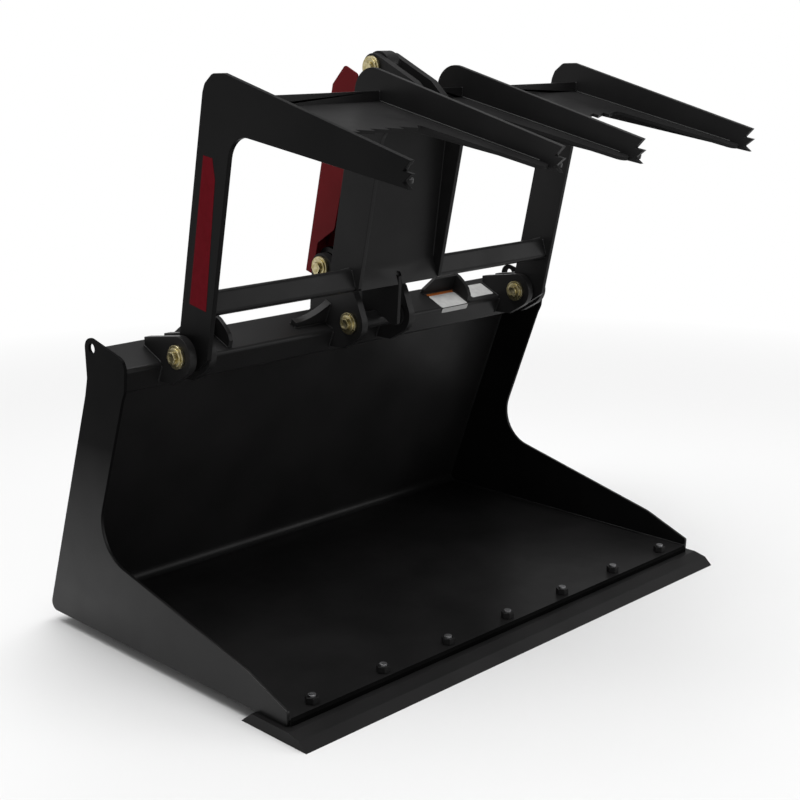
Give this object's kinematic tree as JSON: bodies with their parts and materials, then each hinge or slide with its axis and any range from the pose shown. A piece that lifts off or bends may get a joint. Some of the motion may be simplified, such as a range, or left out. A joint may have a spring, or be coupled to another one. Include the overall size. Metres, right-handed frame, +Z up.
{
  "type": "scrap grapple",
  "caption": "Open loader bucket with curved clamping tines hinged over it, a guarded hydraulic cylinder and a quick-attach mounting.",
  "frame": {"origin": "on the ground at the middle of the object's box, below the bucket's floor", "axes": "+X to the operator's right across the bucket, -Y towards the cutting edge, +Z up"},
  "size_m": [1.524, 1.2218, 1.424],
  "materials": {
    "black_paint": "satin",
    "edge_steel": "satin",
    "red_paint": "satin",
    "zinc_pin": "satin",
    "plain_steel": "satin",
    "chrome_rod": "polished"
  },
  "bodies": {
    "bucket": {"side_plate_left": "black_paint", "side_plate_right": "black_paint", "floor_back_sheet": "black_paint", "base_edge": "black_paint", "cutting_edge": "edge_steel", "edge_bolts": "plain_steel", "edge_nuts": "black_paint", "wear_runners": "black_paint", "top_tube": "black_paint", "hinge_ears_left": "black_paint", "hinge_ears_centre": "black_paint", "hinge_ears_right": "black_paint", "tube_gussets": "black_paint", "hinge_pin_left": "zinc_pin", "hinge_pin_centre": "zinc_pin", "hinge_pin_right": "zinc_pin", "base_pin": "zinc_pin", "mount_plate": "black_paint", "mount_hook": "black_paint", "mount_flange": "black_paint", "mount_ribs": "black_paint"},
    "grapple": {"tine_outer_left": "black_paint", "tine_inner_left": "black_paint", "tine_inner_right": "black_paint", "tine_outer_right": "black_paint", "tine_bushes": "plain_steel", "cross_tube": "black_paint", "front_plate": "black_paint", "cross_plate_left": "black_paint", "cross_plate_centre": "black_paint", "cross_plate_right": "black_paint", "centre_hinge_plates": "black_paint", "centre_sleeve": "black_paint", "cylinder_lugs": "black_paint", "rod_pin": "zinc_pin"},
    "rod": {"rod": "chrome_rod", "rod_eye": "black_paint", "piston": "plain_steel"},
    "barrel": {"barrel": "black_paint", "gland": "black_paint", "base_eye": "black_paint", "cylinder_ports": "plain_steel", "guard": "red_paint", "guard_brackets": "black_paint"}
  },
  "joints": [
    {"name": "grapple_hinge", "type": "hinge", "parent": "bucket", "child": "grapple", "pos_m": [0, 0.11811, 0.746], "axis": [1, 0, 0], "range_deg": [0, 80]},
    {"name": "rod_pivot", "type": "hinge", "parent": "grapple", "child": "rod", "pos_m": [0, 0.08011, 1.384], "axis": [1, 0, 0], "range_deg": [-2, 0.5]},
    {"name": "cylinder_slide", "type": "slide", "parent": "rod", "child": "barrel", "axis": [0, 0.273, -0.962], "range_m": [0, 0.222]}
  ],
  "couplings": [
    {"joint": "rod_pivot", "follows": "grapple_hinge", "ratio": -0.014442},
    {"joint": "cylinder_slide", "follows": "grapple_hinge", "m_per_rad": 0.15648}
  ]
}
